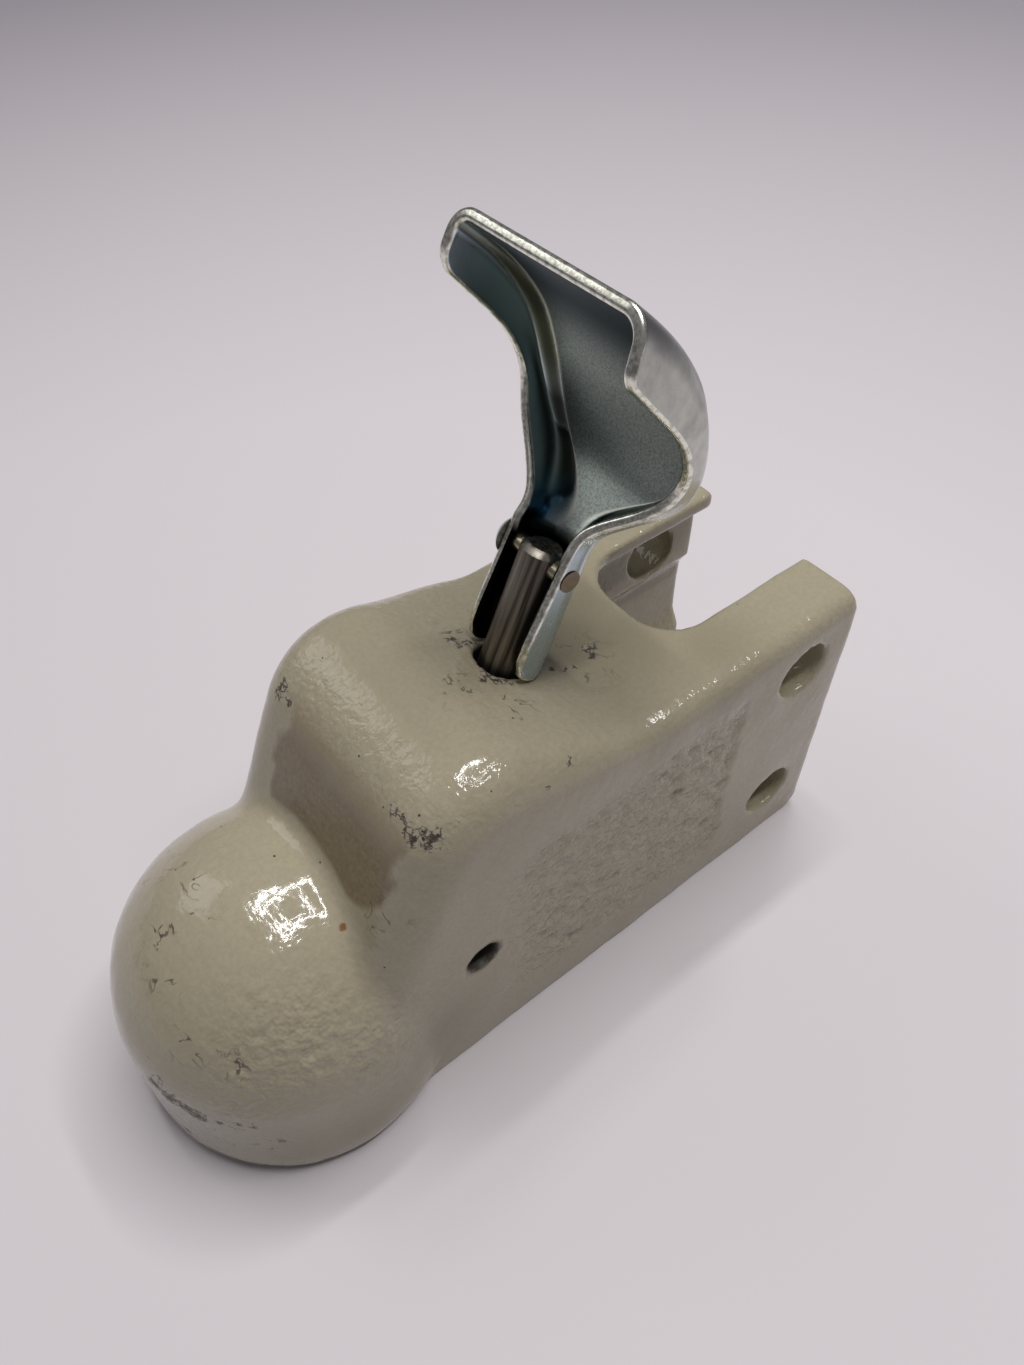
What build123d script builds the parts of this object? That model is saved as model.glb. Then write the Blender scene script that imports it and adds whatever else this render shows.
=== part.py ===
from build123d import *
import math
import os

# Trailer coupling head for a 2-5/16 in ball: a cast housing, a ball clamp, a sprung lock pin and a folding handle.
# Millimetres. The origin is on the ball's axis at the socket's rim, +X points to the nose, +Y left and +Z up.

# Ball and socket
ball_diameter = 58.74
ball_clearance = 0.38
ball_height = 36.2
dome_wall = 13.25
skirt_flare = 0.6
skirt_height = 12.0
rim_tuck = 2.0

# Housing
body_width = 76.2
side_wall = 11.9
top_wall = 10.5
block_wall = 13.0
rear_wall = 10.0
rear_reach = 169.3
arm_height = 97.2
arm_round = 5.5
rear_chamfer = 4.0
block_front = 44.2
block_round = 13.0
crest_round = 25.9
block_step = 6.17
crease_round = 7.0
valley_round = 30.0

# Notch between the bolt arms, its lips, and the pads round the bolt holes
notch_reach = 53.0
notch_width = 35.0
notch_round = 13.0
lip_thickness = 4.6
bolt_hole_diameter = 17.46
bolt_spacing = 57.15
bolt_inset = 18.3
bolt_offset = 1.9
pad_depth = 3.1
pad_slope = 5.5
low_pad_rise = 15.6
high_pad_drop = 9.5

# Ball clamp and its pivot
pivot_diameter = 9.5
pivot_fit = 0.01
pivot_running = 0.05
pivot_setback = 9.71
pivot_rise = 12.3
pivot_recess = 8.0
clamp_width = 36.0
clamp_gap = 0.5
clamp_swing = 12.0
clamp_hub_radius = 9.5
jaw_grip_angle = 30.0
jaw_length = 33.5
jaw_toe = 1.75
fork_wall = 3.0

# Lock pin, square to the block's top face
pin_diameter = 11.1
pin_lean = 24.4
pin_pivot_gap = 0.35
pin_stroke = 9.0
pin_below_pivot = 32.0
pin_chamfer = 1.5
pin_top = 3.5
counterbore_diameter = 14.0
counterbore_depth = 6.0
guide_length = 12.5
guide_boss_radius = 11.0
thrust_web = 10.0
thrust_web_drop = 6.0

# Lock spring and what holds it
spring_wire = 1.8
spring_length = 22.0
spring_turns = 5.0
wire_sides = 10
spring_gap = 0.5
washer_diameter = 17.0
washer_thickness = 2.0
washer_fit = 0.15
retaining_pin_diameter = 3.0
retaining_pin_length = 15.0

# Handle and rivet
sheet = 2.6
bend_radius = 5.0
ear_width = 20.6
ear_front = 5.2
ear_back = 8.8
ear_neck = 3.0
ear_gap = 0.55
ear_top = 6.5
ear_web_drop = 20.0
rivet_height = 29.55
rivet_diameter = 4.76
rivet_running = 0.05
rivet_tail_diameter = 5.6
rivet_tail_height = 0.3
rivet_head_diameter = 10.4
rivet_head_height = 3.0

# Room between pieces that move past each other, and how far a cut or a rib runs past the wall it meets
running_gap = 0.3
overrun = 1.0

socket_radius = ball_diameter / 2 + ball_clearance
dome_radius = socket_radius + dome_wall
skirt_radius = dome_radius + skirt_flare
rim_radius = skirt_radius - rim_tuck
half_body = body_width / 2
half_cavity = half_body - side_wall
pin_radius = pin_diameter / 2
pivot_radius = pivot_diameter / 2
rivet_radius = rivet_diameter / 2
pivot_x = -(socket_radius + pivot_setback)
pivot_z = ball_height + pivot_rise
lean = math.radians(pin_lean)
up_x = -math.sin(lean)
up_z = math.cos(lean)
pin_behind = pin_radius + pivot_radius + pin_pivot_gap
foot_z = arm_height + block_step
block_rise = (foot_z - pivot_z - up_x * pin_behind) / up_z
pin_end = block_rise + pin_below_pivot - pin_stroke
foot_x = pivot_x - up_z * pin_behind + up_x * block_rise
bolt_low = (arm_height - bolt_spacing) / 2 + bolt_offset


def on_pin(down, ahead=0.0):
    """Point (x, z) of the middle plane, down the pin from the block's top face and ahead of the pin's axis."""
    return foot_x - up_x * down + up_z * ahead, foot_z - up_z * down - up_x * ahead


def pin_plane(down):
    """Plane square to the lock pin, with local z up the pin, local x to the right and local y ahead."""
    x, z = on_pin(down)
    return Plane(origin=(x, 0, z), x_dir=(0, -1, 0), z_dir=(up_x, 0, up_z))


def cross_plane(x, z):
    """Plane through a point of the middle plane, with its normal to the left along +Y."""
    return Plane(origin=(x, 0, z), x_dir=(-1, 0, 0), z_dir=(0, 1, 0))


def swung(x, z, degrees):
    """Point (x, z) turned about the clamp's pivot, opening for a positive angle."""
    turn = math.radians(degrees)
    dx = x - pivot_x
    dz = z - pivot_z
    return (pivot_x + dx * math.cos(turn) + dz * math.sin(turn),
            pivot_z - dx * math.sin(turn) + dz * math.cos(turn))


os.makedirs("parts", exist_ok=True)


def body_section(point, travel, depth, shoulder):
    """Cross section of the body at a point (x, z) of its top line, square to its travel, with rounded shoulders."""
    plane = Plane(origin=(point[0], 0, point[1]), x_dir=(0, 1, 0), z_dir=(travel[0], 0, travel[1]))
    with BuildSketch(plane) as section:
        Rectangle(body_width, depth, align=(Align.CENTER, Align.MAX))
        fillet(section.vertices().group_by(Axis.Y)[-1], shoulder)
    return section.sketch


# The body behind the dome: rounded cross sections that run level over the arms, turn up in a valley, follow the
# block's sloping top, where the shoulders grow, and turn over its crest and down its front
valley_ahead = (foot_z - arm_height) / up_x
valley_run = valley_round * math.tan(lean / 2)
valley_x = on_pin(0, valley_ahead)[0] - valley_run
crest_ahead = block_front - crest_round
crest_x, crest_z = on_pin(crest_round, crest_ahead)
body_depth = arm_height + block_rise
level = (1, 0)
rising = (up_z, -up_x)
falling = (-up_x, -up_z)
arm_end = body_section((-rear_reach, arm_height), level, arm_height, arm_round)
valley_start = body_section((valley_x, arm_height), level, body_depth, arm_round)
block_start = body_section(on_pin(0, valley_ahead + valley_run), rising, body_depth, arm_round)
block_end = body_section(on_pin(0, crest_ahead), rising, body_depth, block_round)
crest_start = body_section(on_pin(0, crest_ahead), rising, crest_round, block_round)
front_start = body_section(on_pin(crest_round, block_front), falling, crest_round, block_round)
with BuildPart() as body:
    extrude(arm_end, amount=rear_reach + valley_x)
    revolve(valley_start, axis=Axis((valley_x, 0, arm_height + valley_round), (0, -1, 0)), revolution_arc=pin_lean)
    loft([block_start, block_end], ruled=True)
    revolve(crest_start, axis=Axis((crest_x, 0, crest_z), (0, 1, 0)), revolution_arc=90)
    extrude(front_start, amount=body_depth)
    split(bisect_by=Plane.XY, keep=Keep.TOP)
    chamfer(body.edges().filter_by(Axis.Y).group_by(Axis.X)[0].sort_by(Axis.Z)[0], rear_chamfer)

# The dome and skirt round the ball
with BuildPart() as nose:
    with BuildSketch(Plane.XZ):
        with BuildLine():
            Line((0, 0), (0, ball_height + dome_radius))
            RadiusArc((0, ball_height + dome_radius), (dome_radius, ball_height), dome_radius)
            Line((dome_radius, ball_height), (skirt_radius, skirt_height))
            skirt_draft = (skirt_radius - dome_radius, skirt_height - ball_height)
            TangentArc((skirt_radius, skirt_height), (rim_radius, 0), tangent=skirt_draft)
            Line((rim_radius, 0), (0, 0))
        make_face()
    revolve(axis=Axis.Z)

# The room behind the ball, open below, under a ceiling that follows the top faces, with the window in the
# socket's back that the clamp swings through
wall_x = notch_reach - rear_reach + rear_wall
ceiling_z = arm_height - top_wall
ceiling_ahead = (foot_z - up_z * block_wall - ceiling_z) / up_x
front_x, front_z = on_pin(block_wall, block_front - block_wall)
with BuildPart() as cavity:
    with BuildSketch(Plane.XZ):
        with BuildLine():
            Polyline(
                (wall_x, -overrun),
                (wall_x, ceiling_z),
                on_pin(block_wall, ceiling_ahead),
                (front_x, front_z),
                (front_x + (front_z - ball_height) * math.tan(lean), ball_height),
                (0, -overrun),
                close=True,
            )
        make_face()
    extrude(amount=half_cavity, both=True)
    add(nose.part, mode=Mode.SUBTRACT)
    with BuildSketch(Plane.XY.offset(-overrun)):
        with Locations((pivot_x - clamp_hub_radius, 0)):
            Rectangle(socket_radius, clamp_width + 2 * clamp_gap, align=(Align.MIN, Align.CENTER))
    extrude(amount=overrun + pivot_z + clamp_hub_radius + clamp_gap)

# The ball's socket: a round bore up to the ball's centre and a half sphere above it
with BuildPart() as socket:
    with BuildSketch(Plane.XZ):
        with BuildLine():
            Line((0, -overrun), (0, ball_height + socket_radius))
            RadiusArc((0, ball_height + socket_radius), (socket_radius, ball_height), socket_radius)
            Polyline((socket_radius, ball_height), (socket_radius, -overrun), (0, -overrun))
        make_face()
    revolve(axis=Axis.Z)

# Housing: one casting with the socket, the block that guides the lock pin and the two bolt arms
web_face = -pin_radius - running_gap
with BuildPart() as housing:
    add(body.part)
    add(nose.part)
    fillet(housing.edges(Select.NEW), crease_round)

    # Room behind the ball, with the boss that guides the lock pin and the web that backs its lower end
    add(cavity.part, mode=Mode.SUBTRACT)
    with BuildSketch(pin_plane(counterbore_depth + guide_length)):
        Circle(guide_boss_radius)
    extrude(amount=guide_length)
    with BuildSketch(Plane.XZ):
        with BuildLine():
            Polyline(
                on_pin(block_rise + thrust_web_drop, web_face),
                on_pin(pin_end + pin_stroke, web_face),
                on_pin(pin_end + pin_stroke, web_face - thrust_web),
                on_pin(block_rise + thrust_web_drop, web_face - thrust_web),
                close=True,
            )
        make_face()
    extrude(amount=half_cavity + overrun, both=True)
    add(socket.part, mode=Mode.SUBTRACT)

    # Notch between the arms, wider below its lips, with a thick pad round each bolt hole
    with BuildSketch(Plane.XY.offset(-overrun)) as notch_plan:
        with Locations((notch_reach - rear_reach, 0)):
            Rectangle(notch_reach + notch_round, notch_width, align=(Align.MAX, Align.CENTER))
        fillet(notch_plan.vertices().group_by(Axis.X)[-1], notch_round)
    extrude(amount=arm_height + 2 * overrun, mode=Mode.SUBTRACT)
    pad_face = half_cavity - pad_depth
    lip_z = arm_height - lip_thickness
    with BuildSketch(Plane.YZ.offset(-rear_reach - overrun)):
        with BuildLine():
            Polyline(
                (0, -overrun),
                (pad_face, -overrun),
                (pad_face, bolt_low + low_pad_rise),
                (half_cavity, bolt_low + low_pad_rise + pad_slope),
                (half_cavity, bolt_low + bolt_spacing - high_pad_drop - pad_slope),
                (pad_face, bolt_low + bolt_spacing - high_pad_drop),
                (pad_face, lip_z - pad_face + notch_width / 2),
                (notch_width / 2, lip_z),
                (0, lip_z),
                close=True,
            )
        make_face()
        mirror(about=Plane.YZ)
    extrude(amount=notch_reach + overrun - notch_round / 2, mode=Mode.SUBTRACT)

    # Holes for the lock pin, the clamp's pivot and the mounting bolts
    with Locations(pin_plane(0)):
        CounterBoreHole(
            radius=pin_radius + running_gap,
            counter_bore_radius=counterbore_diameter / 2,
            counter_bore_depth=counterbore_depth,
            depth=counterbore_depth + guide_length + overrun,
        )
    with Locations(cross_plane(pivot_x, pivot_z)):
        Cylinder(pivot_radius + pivot_fit, body_width + overrun, mode=Mode.SUBTRACT)
    for bolt_z in (bolt_low, bolt_low + bolt_spacing):
        with Locations(cross_plane(bolt_inset - rear_reach, bolt_z)):
            Cylinder(bolt_hole_diameter / 2, body_width + overrun, mode=Mode.SUBTRACT)

housing.part.label = "housing"
export_step(housing.part, "parts/housing.step")

# Clamp pivot pin: a plain steel pin pressed into the housing's side walls, its ends sunk below their faces
with BuildPart() as clamp_pivot_pin:
    with BuildSketch(cross_plane(pivot_x, pivot_z)):
        Circle(pivot_radius)
    extrude(amount=half_body - pivot_recess, both=True)
    chamfer(clamp_pivot_pin.edges().filter_by(GeomType.CIRCLE), pin_chamfer)

clamp_pivot_pin.part.label = "clamp_pivot_pin"
export_step(clamp_pivot_pin.part, "parts/clamp_pivot_pin.step")

# Ball clamp: a cast jaw forked over the lock pin, shown swung open from the ball that it grips when closed.
# The slot in its back follows the pin's end, which comes down while the clamp closes.
clamp_back = web_face + clamp_gap
grip_radius = ball_diameter / 2 + running_gap
grip = math.radians(jaw_grip_angle)
gripped_ball = swung(0, ball_height, clamp_swing)
jaw_lip = swung(-grip_radius * math.cos(grip), ball_height - grip_radius * math.sin(grip), clamp_swing)
jaw_foot = swung(*on_pin(block_rise + jaw_length, pin_behind + jaw_toe), clamp_swing)
pin_path = [
    swung(*on_pin(pin_end + pin_stroke * share + running_gap, pin_radius + running_gap), clamp_swing * share)
    for share in (0, 0.25, 0.5, 0.75, 1)
]
pin_path_end = swung(*on_pin(pin_end + pin_stroke + running_gap, -2 * pin_diameter), clamp_swing)
with BuildPart() as ball_clamp:
    with BuildSketch(Plane.XZ):
        with BuildLine():
            Polyline(
                on_pin(block_rise, pin_behind - clamp_hub_radius),
                on_pin(block_rise + clamp_hub_radius, clamp_back),
                on_pin(block_rise + jaw_length, clamp_back),
                jaw_foot,
                jaw_lip,
                gripped_ball,
                (pivot_x, pivot_z + clamp_hub_radius),
                close=True,
            )
        make_face()
    extrude(amount=clamp_width / 2, both=True)
    with Locations(cross_plane(pivot_x, pivot_z)):
        Cylinder(clamp_hub_radius, clamp_width)
    with Locations((gripped_ball[0], 0, gripped_ball[1])):
        Sphere(grip_radius, mode=Mode.SUBTRACT)
    with Locations((0, 0, ball_height)):
        Sphere(socket_radius + running_gap, mode=Mode.SUBTRACT)
        Cylinder(
            socket_radius + running_gap,
            ball_height + overrun,
            align=(Align.CENTER, Align.CENTER, Align.MAX),
            mode=Mode.SUBTRACT,
        )
    with BuildSketch(Plane.XZ):
        with BuildLine():
            Polyline(
                on_pin(block_rise - clamp_hub_radius - overrun, -2 * pin_diameter),
                on_pin(block_rise - clamp_hub_radius - overrun, pin_behind + clamp_hub_radius + overrun),
                on_pin(block_rise + pivot_radius + fork_wall, pin_behind + clamp_hub_radius + overrun),
                on_pin(block_rise + pivot_radius + fork_wall, pin_radius + running_gap),
                *pin_path,
                pin_path_end,
                close=True,
            )
        make_face()
    extrude(amount=pin_radius + clamp_gap, both=True, mode=Mode.SUBTRACT)
    with Locations(cross_plane(pivot_x, pivot_z)):
        Cylinder(pivot_radius + pivot_running, clamp_width + overrun, mode=Mode.SUBTRACT)

ball_clamp.part.label = "ball_clamp"
export_step(ball_clamp.part, "parts/ball_clamp.step")

# Lock pin: a steel rod with its ends chamfered, drilled across for the handle's rivet and the retaining pin
spring_seat = counterbore_depth + guide_length + spring_length
retaining_down = spring_seat + washer_thickness + retaining_pin_diameter / 2
with BuildPart() as lock_pin:
    with BuildSketch(pin_plane(pin_end)):
        Circle(pin_radius)
    extrude(amount=pin_end + rivet_height + pin_top)
    chamfer(lock_pin.edges().filter_by(GeomType.CIRCLE), pin_chamfer)
    with Locations(cross_plane(*on_pin(-rivet_height))):
        Cylinder(rivet_radius + pivot_fit, 2 * pin_diameter, mode=Mode.SUBTRACT)
    with Locations(cross_plane(*on_pin(retaining_down))):
        Cylinder(retaining_pin_diameter / 2 + pivot_fit, 2 * pin_diameter, mode=Mode.SUBTRACT)

lock_pin.part.label = "lock_pin"
export_step(lock_pin.part, "parts/lock_pin.step")

# Lock spring: a coil of wire, drawn ten-sided, shown pressed together under the guide boss while the pin is up
with BuildPart() as lock_spring:
    with BuildLine() as coil:
        Helix(
            pitch=(spring_length - spring_wire) / spring_turns,
            height=spring_length - spring_wire,
            radius=pin_radius + spring_gap + spring_wire / 2,
            center=pin_plane(spring_seat - spring_wire / 2).origin,
            direction=(up_x, 0, up_z),
        )
    with BuildSketch(Plane(origin=coil.line @ 0, z_dir=coil.line % 0)):
        RegularPolygon(spring_wire / 2, wire_sides)
    sweep(path=coil.line, is_frenet=True)

lock_spring.part.label = "lock_spring"
export_step(lock_spring.part, "parts/lock_spring.step")

# Spring washer: a flat ring on the lock pin that the spring stands on
with BuildPart() as spring_washer:
    with BuildSketch(pin_plane(spring_seat + washer_thickness)):
        Circle(washer_diameter / 2)
        Circle(pin_radius + washer_fit, mode=Mode.SUBTRACT)
    extrude(amount=washer_thickness)

spring_washer.part.label = "spring_washer"
export_step(spring_washer.part, "parts/spring_washer.step")

# Spring retaining pin: driven through the lock pin under the washer
with BuildPart() as spring_retaining_pin:
    with BuildSketch(cross_plane(*on_pin(retaining_down))):
        Circle(retaining_pin_diameter / 2)
    extrude(amount=retaining_pin_length / 2, both=True)

spring_retaining_pin.part.label = "spring_retaining_pin"
export_step(spring_retaining_pin.part, "parts/spring_retaining_pin.step")


def on_handle(up, ahead):
    """Point (x, z) of the middle plane, up the raised handle from its rivet and ahead of it."""
    return on_pin(-rivet_height - up, ahead)


def channel_section(back, edge, half_web, half_edge):
    """Sketch of the pressed sheet's U section, from the web at back to the flange edges, both (up, ahead)."""
    back_point = Vector(on_handle(*back)[0], 0, on_handle(*back)[1])
    edge_point = Vector(on_handle(*edge)[0], 0, on_handle(*edge)[1])
    depth = (edge_point - back_point).length
    right = Vector(0, -1, 0)
    along = right.cross(edge_point - back_point)
    with BuildSketch(Plane(origin=back_point, x_dir=right, z_dir=along)) as section:
        with BuildLine():
            outer = FilletPolyline(
                (-half_edge, depth), (-half_web, 0), (half_web, 0), (half_edge, depth), radius=bend_radius
            )
            inner = FilletPolyline(
                (-half_edge + sheet, depth),
                (-half_web + sheet, sheet),
                (half_web - sheet, sheet),
                (half_edge - sheet, depth),
                radius=bend_radius - sheet,
            )
            Line(outer @ 0, inner @ 0)
            Line(outer @ 1, inner @ 1)
        make_face()
    return section.sketch


# Handle: one pressing of zinc-plated sheet. Its lower end is a channel round the lock pin with rounded ears,
# and above the rivet it flares into a scoop that curls forward. Each station of the scoop gives its web and
# its flange edge as (up, ahead) from the rivet, and half its width at both.
ear_half = ear_width / 2
scoop_stations = [
    ((ear_top, -ear_back), (ear_top, ear_neck), ear_half, ear_half),
    ((12.0, -11.5), (12.6, 1.0), 11.0, 11.5),
    ((18.8, -15.0), (20.0, -1.6), 16.8, 18.8),
    ((26.5, -15.3), (26.8, -2.5), 23.2, 24.7),
    ((37.5, -10.8), (33.7, -1.4), 26.4, 27.5),
    ((48.5, -3.2), (40.6, 4.2), 27.2, 28.7),
    ((55.8, 4.8), (45.6, 12.0), 27.4, 29.0),
    ((62.2, 16.4), (49.8, 20.8), 27.4, 29.1),
    ((67.1, 30.0), (54.2, 30.0), 27.4, 29.1),
]
ear_drop = rivet_height - ear_gap
ear_tip_radius = (ear_front + ear_back) / 2
ear_tip = ((ear_front - ear_back) / 2, ear_tip_radius - ear_drop)
ear_section = channel_section((-ear_drop, -ear_back), (-ear_drop, ear_front), ear_half, ear_half)
scoop_sections = [channel_section(*station) for station in scoop_stations]
rivet_x, rivet_z = on_handle(0, 0)
handle_side = Plane(origin=(rivet_x, 0, rivet_z), x_dir=(up_z, 0, -up_x), z_dir=(0, -1, 0))
with BuildPart() as handle:
    extrude(ear_section, amount=ear_drop + ear_top)
    with BuildSketch(handle_side):
        with Locations(ear_tip):
            Circle(ear_tip_radius)
        with BuildLine():
            Polyline(
                (-ear_back, ear_tip[1]), (ear_front, ear_tip[1]), (ear_neck, ear_top), (-ear_back, ear_top), close=True
            )
        make_face()
    extrude(amount=ear_half, both=True, mode=Mode.INTERSECT)
    with BuildSketch(handle_side):
        with Locations((-ear_back, -ear_web_drop)):
            Rectangle(2 * sheet, ear_drop, align=(Align.CENTER, Align.MAX))
    extrude(amount=ear_half - bend_radius, both=True, mode=Mode.SUBTRACT)
    loft(scoop_sections)
    with Locations(cross_plane(rivet_x, rivet_z)):
        Cylinder(rivet_radius + rivet_running, 2 * ear_width, mode=Mode.SUBTRACT)

handle.part.label = "handle"
export_step(handle.part, "parts/handle.step")

# Handle rivet: a domed head on the right ear, a shank through the lock pin and a peened tail on the left ear
head_radius = rivet_head_diameter / 2
dome = (head_radius**2 + rivet_head_height**2) / (2 * rivet_head_height)
dome_half_angle = math.asin(head_radius / dome) / 2
ear_face = ear_half + rivet_running
head_top = -ear_face - rivet_head_height
with BuildPart() as handle_rivet:
    with BuildSketch(Plane(origin=(rivet_x, 0, rivet_z), x_dir=(0, 1, 0), z_dir=(up_z, 0, -up_x))):
        with BuildLine():
            ThreePointArc(
                (head_top, 0),
                (head_top + dome * (1 - math.cos(dome_half_angle)), dome * math.sin(dome_half_angle)),
                (-ear_face, head_radius),
            )
            Polyline(
                (-ear_face, head_radius),
                (-ear_face, rivet_radius),
                (ear_face, rivet_radius),
                (ear_face, rivet_tail_diameter / 2),
                (ear_face + rivet_tail_height, rivet_tail_diameter / 2),
                (ear_face + rivet_tail_height, 0),
                (head_top, 0),
            )
        make_face()
    revolve(axis=Axis((rivet_x, 0, rivet_z), (0, 1, 0)))

handle_rivet.part.label = "handle_rivet"
export_step(handle_rivet.part, "parts/handle_rivet.step")
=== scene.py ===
from functools import partial

import bmesh
import bpy
import numpy as np
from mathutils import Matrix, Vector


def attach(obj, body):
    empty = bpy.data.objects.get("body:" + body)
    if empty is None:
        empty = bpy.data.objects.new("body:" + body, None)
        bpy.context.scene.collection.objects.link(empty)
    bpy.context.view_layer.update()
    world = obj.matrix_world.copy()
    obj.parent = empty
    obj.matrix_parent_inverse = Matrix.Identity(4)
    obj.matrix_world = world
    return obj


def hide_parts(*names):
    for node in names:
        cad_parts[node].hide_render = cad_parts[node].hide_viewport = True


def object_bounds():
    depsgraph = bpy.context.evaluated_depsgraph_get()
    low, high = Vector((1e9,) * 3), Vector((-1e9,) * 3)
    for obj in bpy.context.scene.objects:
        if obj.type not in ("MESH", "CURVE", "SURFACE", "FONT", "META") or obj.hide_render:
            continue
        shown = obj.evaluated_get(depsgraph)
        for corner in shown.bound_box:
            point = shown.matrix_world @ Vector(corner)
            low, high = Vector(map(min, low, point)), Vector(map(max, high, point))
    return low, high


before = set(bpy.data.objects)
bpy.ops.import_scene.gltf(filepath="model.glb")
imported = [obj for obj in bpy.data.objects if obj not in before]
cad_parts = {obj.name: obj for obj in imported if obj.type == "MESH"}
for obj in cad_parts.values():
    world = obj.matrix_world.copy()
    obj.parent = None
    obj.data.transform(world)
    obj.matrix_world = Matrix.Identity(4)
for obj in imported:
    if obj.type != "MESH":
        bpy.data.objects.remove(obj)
cad_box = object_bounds()

# Housing: one iron casting with the ball's dome, the block over the lock pin and the two bolt arms.
# It was cast in sand, so its faces are uneven and its edges soft, and it was dipped in thick gloss enamel.
mm = 0.001
facet, edge_passes = 1.22, 4
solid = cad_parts["housing"]
loose = bmesh.new()
loose.from_mesh(solid.data)
bmesh.ops.remove_doubles(loose, verts=loose.verts, dist=1e-6)
casting_mesh = bpy.data.meshes.new("casting")
loose.to_mesh(casting_mesh)
loose.free()
casting = bpy.data.objects.new("casting", casting_mesh)
bpy.context.scene.collection.objects.link(casting)
even = casting.modifiers.new("even facets", "REMESH")
even.mode = "VOXEL"
even.voxel_size = facet * mm
onto = casting.modifiers.new("true to size", "SHRINKWRAP")
onto.target = solid
soften = casting.modifiers.new("cast edges", "SMOOTH")
soften.factor = 0.5
soften.iterations = edge_passes
shaped = casting.evaluated_get(bpy.context.evaluated_depsgraph_get())
casting.data = bpy.data.meshes.new_from_object(shaped)
casting.modifiers.clear()


def per_vertex(piece, what):
    """Place ("co") or normal ("normal") of each of the piece's vertices, one row of x, y, z per vertex."""
    numbers = np.empty(len(piece.data.vertices) * 3, np.float32)
    piece.data.vertices.foreach_get(what, numbers)
    return numbers.reshape(-1, 3)


def waves(points, lengths, seed):
    """Sum of plane waves over points, one per length, each in a random direction and phase, scaled to about +-1."""
    dice = np.random.default_rng(seed)
    way = dice.normal(size=(len(lengths), 3))
    way *= (2 * np.pi / np.array(lengths) / np.linalg.norm(way, axis=1))[:, None]
    return np.sin(points @ way.T + dice.uniform(0, 2 * np.pi, len(lengths))).sum(1) / np.sqrt(len(lengths))


def smooth(values, start, end):
    """0 before start, 1 past end, and 3k^2 - 2k^3 between them, where k is the share of the way. End may lie
    below start, and the values then rise downwards."""
    k = np.clip((values - start) / (end - start), 0, 1)
    return k * k * (3 - 2 * k)


def marks(points, spots):
    """Largest over spots (x, y, z, radius) of exp(-(distance / radius) squared)."""
    spots = np.array(spots)
    far = ((points[:, None, :] - spots[None, :, :3]) ** 2).sum(2)
    return np.exp(-far / spots[:, 3] ** 2).max(1)


def set_attribute(piece, name, values):
    """Stores one number per vertex under a name that a material can read."""
    layer = piece.data.attributes.new(name, "FLOAT", "POINT")
    layer.data.foreach_set("value", np.ascontiguousarray(values, np.float32))


# The left side panel was moulded against coarser sand: it lies a little lower, pebbled and pitted, and ends at the
# rear in a ragged line. Patches of the dome carry the same pebbles, and the whole skin sags and ripples. Sizes in mm.
panel_facing, panel_foot, panel_head = (0.75, 0.95), (8, 20), (88, 74)
panel_rear, panel_front, panel_stray, panel_drop = (-128.2, -127.2), (-36, -62), 0.9, 0.5
dome_patches, dome_share = [(9, 34, 60, 17), (-7, 40, 50, 16), (22, 30, 52, 12)], 0.9
pebble_height, pit_depth, pit_level = 0.27, 0.7, 0.6
sag_height, ripple_height = 0.10, 0.03
points = per_vertex(casting, "co") / mm
outward = per_vertex(casting, "normal")
x, y, z = points.T
ragged = x + panel_stray * waves(points, [12, 9, 7, 5], 11)
panel = smooth(outward[:, 1], *panel_facing) * smooth(ragged, *panel_rear) * smooth(ragged, *panel_front)
panel *= smooth(z, *panel_foot) * smooth(z, *panel_head)
dome_pebble = marks(points, dome_patches)
pebble = pebble_height * waves(points, np.linspace(3.2, 6.0, 40), 7)
pits = pit_depth * np.maximum(waves(points, np.linspace(4.2, 7.0, 30), 9) - pit_level, 0)
uneven = sag_height * waves(points, [34, 27, 23, 19, 16, 14], 3)
uneven += ripple_height * waves(points, [9, 8, 7, 6, 5.5, 5], 5)
uneven += panel * (pebble - pits - panel_drop) + dome_share * dome_pebble * pebble
points = points + outward * uneven[:, None]
points = np.clip(points, np.array(cad_box[0]) / mm, np.array(cad_box[1]) / mm)
casting.data.vertices.foreach_set("co", np.ascontiguousarray(points * mm, np.float32).ravel())
casting.data.shade_smooth()
casting.data.update()
set_attribute(casting, "panel", np.maximum(panel, dome_pebble))

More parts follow.
